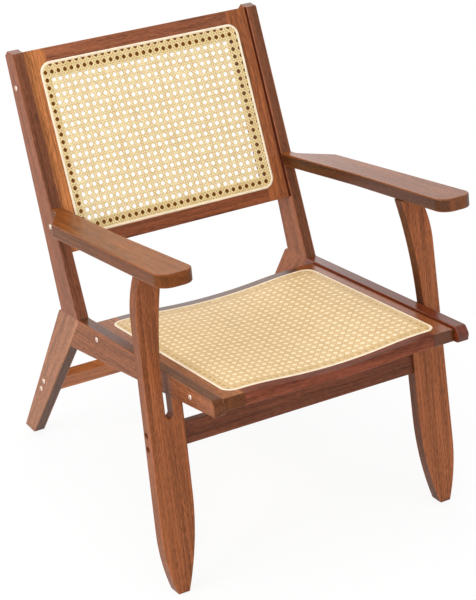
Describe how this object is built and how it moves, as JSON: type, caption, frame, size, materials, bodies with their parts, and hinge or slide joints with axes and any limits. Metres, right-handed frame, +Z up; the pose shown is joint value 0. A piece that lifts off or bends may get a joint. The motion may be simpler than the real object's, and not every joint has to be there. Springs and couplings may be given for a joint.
{
  "type": "lounge chair",
  "caption": "Low lounge armchair: leaning cane back, dished cane seat, forked plank front legs, splayed rear legs and flared wooden arms, bolted together.",
  "frame": {"origin": "on the floor under the middle of the chair's box", "axes": "+X across the width, to the right seen from the front; +Y from front to back; +Z up"},
  "size_m": [0.6894, 0.8089, 0.863],
  "materials": {
    "frame_wood": "satin lacquer on reddish-brown hardwood",
    "arm_wood": "satin lacquer on reddish-brown hardwood",
    "stretcher_wood": "satin lacquer on reddish-brown hardwood",
    "back_wood": "satin lacquer on orange-brown hardwood",
    "seat_wood": "satin lacquer on red-brown hardwood",
    "cane": "natural cane, open octagonal weave",
    "spline": "natural reed cord",
    "dowel_wood": "plain beech",
    "bolt_metal": "bright plated",
    "nut_metal": "zinc plated",
    "glide_plastic": "white nylon",
    "backing": "thin plywood board painted cream"
  },
  "bodies": {
    "root": {"left_back_post": "frame_wood", "right_back_post": "frame_wood", "left_side_rail": "frame_wood", "right_side_rail": "frame_wood", "left_rear_leg": "frame_wood", "right_rear_leg": "frame_wood", "left_front_leg": "frame_wood", "right_front_leg": "frame_wood", "left_armrest": "arm_wood", "right_armrest": "arm_wood", "front_stretcher": "stretcher_wood", "rear_stretcher": "stretcher_wood", "back_bottom_rail": "back_wood", "back_top_rail": "back_wood", "back_left_stile": "back_wood", "back_right_stile": "back_wood", "seat_front_rail": "seat_wood", "seat_rear_rail": "seat_wood", "seat_left_stile": "seat_wood", "seat_right_stile": "seat_wood", "back_cane": "cane", "seat_cane": "cane", "back_spline": "spline", "seat_spline": "spline", "panel_dowels": "dowel_wood", "frame_dowels": "dowel_wood", "leg_dowels": "dowel_wood", "arm_dowels": "dowel_wood", "back_panel_bolts": "bolt_metal", "seat_panel_bolts": "bolt_metal", "rear_stretcher_bolts": "bolt_metal", "front_stretcher_bolts": "bolt_metal", "panel_inserts": "nut_metal", "barrel_nuts": "nut_metal", "floor_glides": "glide_plastic", "seat_backing": "backing"}
  },
  "joints": []
}
